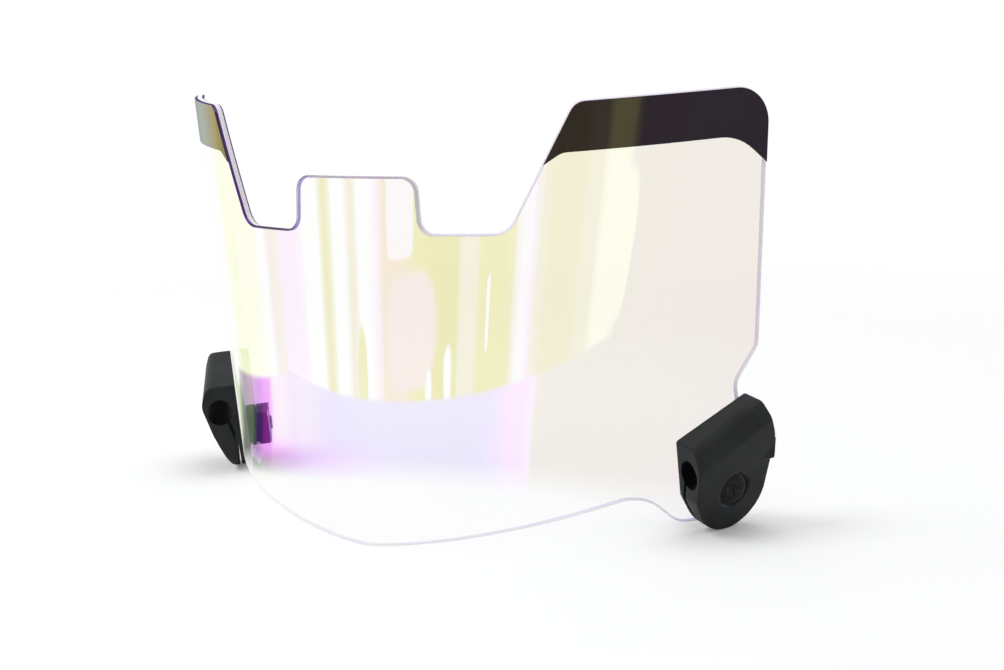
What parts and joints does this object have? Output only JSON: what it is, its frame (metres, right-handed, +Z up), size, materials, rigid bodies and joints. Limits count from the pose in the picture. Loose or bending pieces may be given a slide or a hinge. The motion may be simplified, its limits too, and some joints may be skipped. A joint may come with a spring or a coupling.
{
  "type": "football visor",
  "caption": "Clear bent football visor with raised wings, a centre tab between notches and screw clips that clamp it to a face mask's bars",
  "frame": {"origin": "On the floor under the lens's middle line, half way between the visor's front and rear. The visor stands on the middle of its lower edge and on the feet of its clips", "axes": "+X to the wearer's left, -Y out of the front of the lens, +Z up"},
  "size_m": [0.2045, 0.069, 0.1265],
  "materials": {
    "clear_lens": "clear coated polycarbonate, gloss",
    "black_print": "black ink film, gloss",
    "black_nylon": "moulded nylon, satin",
    "black_steel": "black oxide steel, satin",
    "black_rubber": "matte rubber",
    "zinc_steel": "zinc plated steel, satin"
  },
  "bodies": {
    "lens_assembly": {"visor_lens": "clear_lens", "left_wing_band": "black_print", "left_outer_pad": "black_rubber", "left_lens_bush": "black_nylon", "left_inner_pad": "black_rubber", "left_nut_plate": "black_nylon", "left_square_nut": "zinc_steel", "right_wing_band": "black_print", "right_outer_pad": "black_rubber", "right_lens_bush": "black_nylon", "right_inner_pad": "black_rubber", "right_nut_plate": "black_nylon", "right_square_nut": "zinc_steel"},
    "left_clip": {"left_clip_body": "black_nylon"},
    "left_washer": {"left_screw_washer": "black_steel"},
    "left_screw": {"left_clamp_screw": "black_steel"},
    "right_clip": {"right_clip_body": "black_nylon"},
    "right_washer": {"right_screw_washer": "black_steel"},
    "right_screw": {"right_clamp_screw": "black_steel"}
  },
  "joints": [
    {"name": "left_clip_swivel", "type": "hinge", "parent": "lens_assembly", "child": "left_clip", "pos_m": [0.08601, 0.02295, 0.0134], "axis": [0.7907, -0.6067, -0.0817], "range_deg": [-25, 25]},
    {"name": "left_screw_travel", "type": "slide", "parent": "lens_assembly", "child": "left_washer", "axis": [0.7907, -0.6067, -0.0817], "range_m": [0, 0.0016]},
    {"name": "left_screw_turn", "type": "hinge", "parent": "left_washer", "child": "left_screw", "pos_m": [0.08601, 0.02295, 0.0134], "axis": [0.7907, -0.6067, -0.0817], "range_deg": [0, 720]},
    {"name": "right_clip_swivel", "type": "hinge", "parent": "lens_assembly", "child": "right_clip", "pos_m": [-0.08601, 0.02295, 0.0134], "axis": [-0.7907, -0.6067, -0.0817], "range_deg": [-35, 15]},
    {"name": "right_screw_travel", "type": "slide", "parent": "lens_assembly", "child": "right_washer", "axis": [-0.7907, -0.6067, -0.0817], "range_m": [0, 0.0016]},
    {"name": "right_screw_turn", "type": "hinge", "parent": "right_washer", "child": "right_screw", "pos_m": [-0.08601, 0.02295, 0.0134], "axis": [-0.7907, -0.6067, -0.0817], "range_deg": [0, 720]}
  ],
  "couplings": [
    {"joint": "left_screw_turn", "follows": "left_screw_travel", "rad_per_m": 7853.9},
    {"joint": "right_screw_turn", "follows": "right_screw_travel", "rad_per_m": 7853.9}
  ]
}
